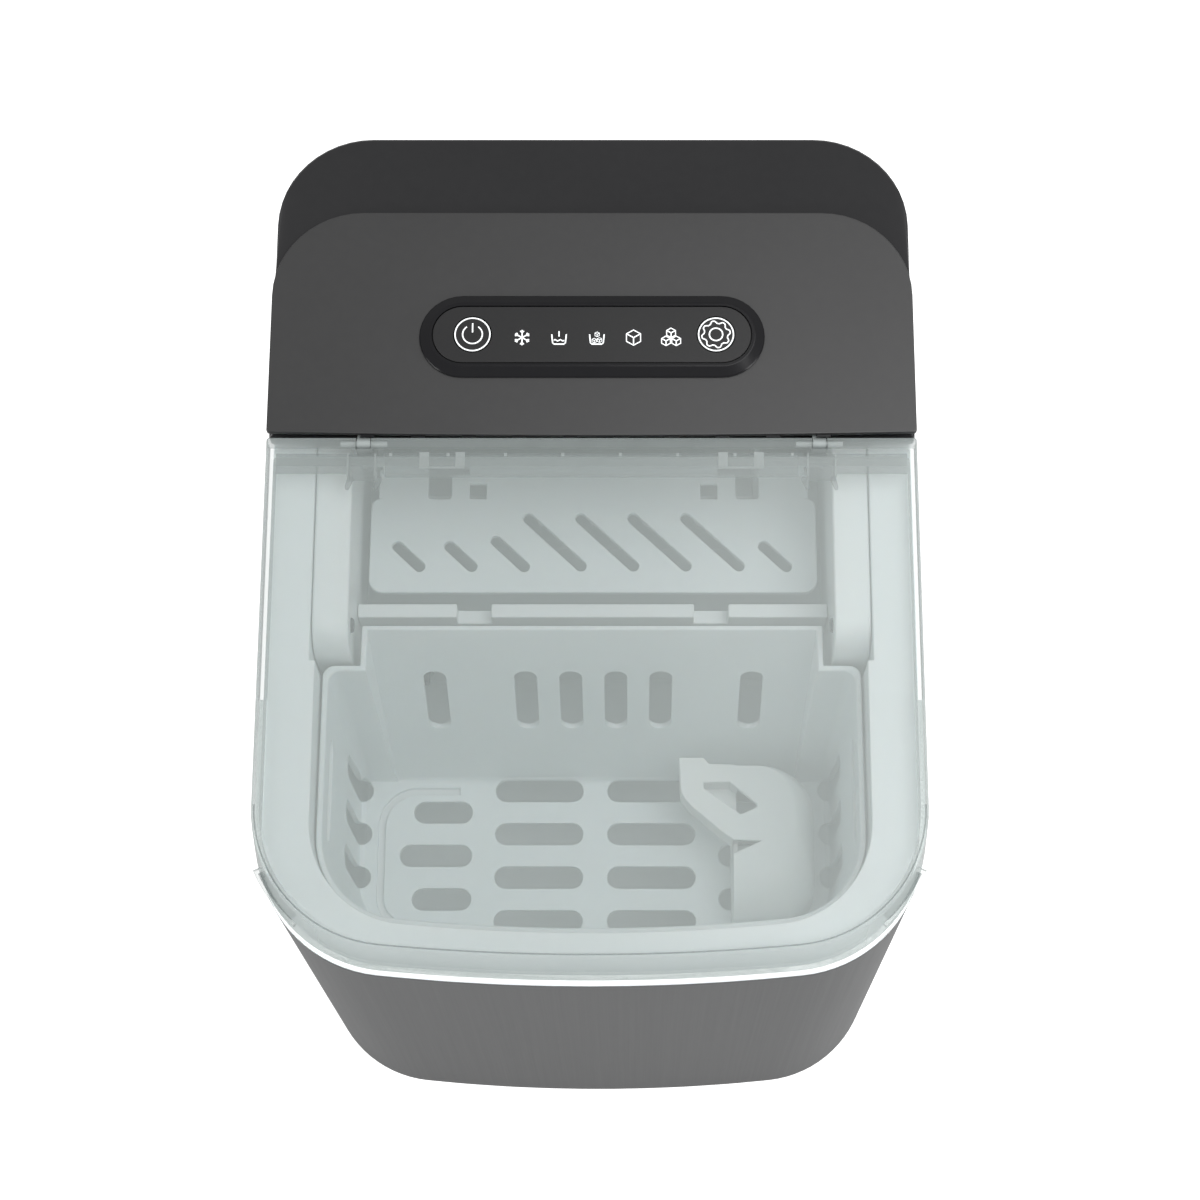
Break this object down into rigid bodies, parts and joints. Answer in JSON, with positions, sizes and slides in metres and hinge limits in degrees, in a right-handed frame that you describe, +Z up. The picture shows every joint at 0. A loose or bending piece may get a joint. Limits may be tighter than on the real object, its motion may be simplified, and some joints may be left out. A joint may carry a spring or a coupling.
{
  "type": "countertop ice maker",
  "caption": "Countertop bullet-ice maker with a clear hinged lid over a slotted basket, sloping control cover with a pill-shaped key panel and a metal-wrapped case.",
  "frame": {"origin": "on the floor, at the middle of the footprint", "axes": "+Z up, +X to the right seen from the front, +Y from the front towards the rear panel"},
  "size_m": [0.222, 0.2992, 0.2586],
  "materials": {
    "brushed_wrap": "satin brushed steel sheet, fine vertical grain",
    "gloss_black": "gloss black moulded plastic",
    "satin_black": "satin black moulded plastic",
    "panel_black": "deep black glossy touch film",
    "clear_lid": "clear moulded plastic with a faint grey-green tint",
    "white_liner": "white moulded plastic, semi-gloss",
    "basket_white": "translucent white moulded plastic",
    "scoop_white": "white moulded plastic",
    "rubber": "black rubber",
    "zinc": "plated metal",
    "nickel": "nickel-plated copper",
    "copper": "bare copper tube",
    "aluminium": "plain aluminium fins",
    "machine_black": "black enamel",
    "pan_black": "matte black moulded plastic",
    "circuit": "green circuit board",
    "foam": "white expanded foam",
    "hose": "milky silicone hose"
  },
  "bodies": {
    "case": {"body_shell": "brushed_wrap", "top_housing": "gloss_black", "console_bezel": "gloss_black", "rear_panel": "gloss_black", "ice_sensor_left": "gloss_black", "ice_sensor_right": "gloss_black", "drain_spout": "gloss_black", "control_cover": "satin_black", "control_panel": "panel_black", "inner_liner": "white_liner", "pillar_left": "white_liner", "pillar_right": "white_liner", "foot_front_left": "rubber", "foot_front_right": "rubber", "foot_rear_left": "rubber", "foot_rear_right": "rubber", "compressor_mount_1": "rubber", "compressor_mount_2": "rubber", "compressor_mount_3": "rubber", "intake_elbow": "rubber", "cord_gland": "rubber", "panel_screw_1": "zinc", "panel_screw_2": "zinc", "panel_screw_3": "zinc", "panel_screw_4": "zinc", "pusher_shaft": "zinc", "tray_motor": "zinc", "fan_motor": "zinc", "hot_gas_valve": "zinc", "evaporator": "nickel", "suction_line": "copper", "discharge_line": "copper", "filter_drier": "copper", "condenser": "aluminium", "compressor": "machine_black", "fan_shroud": "machine_black", "base_pan": "pan_black", "water_pump": "pan_black", "display_board": "circuit", "main_board": "circuit", "insulation_jacket": "foam", "pump_hose": "hose", "drain_hose": "hose"},
    "lid": {"lid": "clear_lid", "lid_pin_left": "zinc", "lid_pin_right": "zinc"},
    "basket": {"ice_basket": "basket_white"},
    "scoop": {"ice_scoop": "scoop_white"},
    "tray": {"water_tray": "basket_white"},
    "pusher": {"ice_pusher": "basket_white"},
    "fan": {"fan_blades": "gloss_black"},
    "power_key": {"power_button": "panel_black"},
    "select_key": {"select_button": "panel_black"},
    "plug": {"drain_plug": "rubber"}
  },
  "joints": [
    {"name": "lid_hinge", "type": "hinge", "parent": "case", "child": "lid", "pos_m": [0, 0.03267, 0.25131], "axis": [-1, 0, 0], "range_deg": [0, 92]},
    {"name": "basket_lift", "type": "slide", "parent": "case", "child": "basket", "axis": [0, 0, 1], "range_m": [0, 0.015]},
    {"name": "scoop_lift", "type": "slide", "parent": "basket", "child": "scoop", "axis": [0, 0, 1], "range_m": [0, 0.06]},
    {"name": "tray_tilt", "type": "hinge", "parent": "case", "child": "tray", "pos_m": [0, 0.066, 0.214], "axis": [1, 0, 0], "range_deg": [0, 60]},
    {"name": "pusher_swing", "type": "hinge", "parent": "case", "child": "pusher", "pos_m": [0, 0.044, 0.206], "axis": [1, 0, 0], "range_deg": [0, 30]},
    {"name": "fan_spin", "type": "hinge", "parent": "case", "child": "fan", "pos_m": [0.05, 0.088, 0.088], "axis": [1, 0, 0], "continuous": true},
    {"name": "power_press", "type": "slide", "parent": "case", "child": "power_key", "axis": [0, 0.0523, -0.9986], "range_m": [0, 0.0006], "stiffness_N_per_m": 200},
    {"name": "select_press", "type": "slide", "parent": "case", "child": "select_key", "axis": [0, 0.0523, -0.9986], "range_m": [0, 0.0006], "stiffness_N_per_m": 200},
    {"name": "drain_pull", "type": "slide", "parent": "case", "child": "plug", "axis": [0, 1, 0], "range_m": [0, 0.012]}
  ],
  "couplings": [
    {"joint": "pusher_swing", "follows": "tray_tilt", "ratio": 0.5}
  ]
}
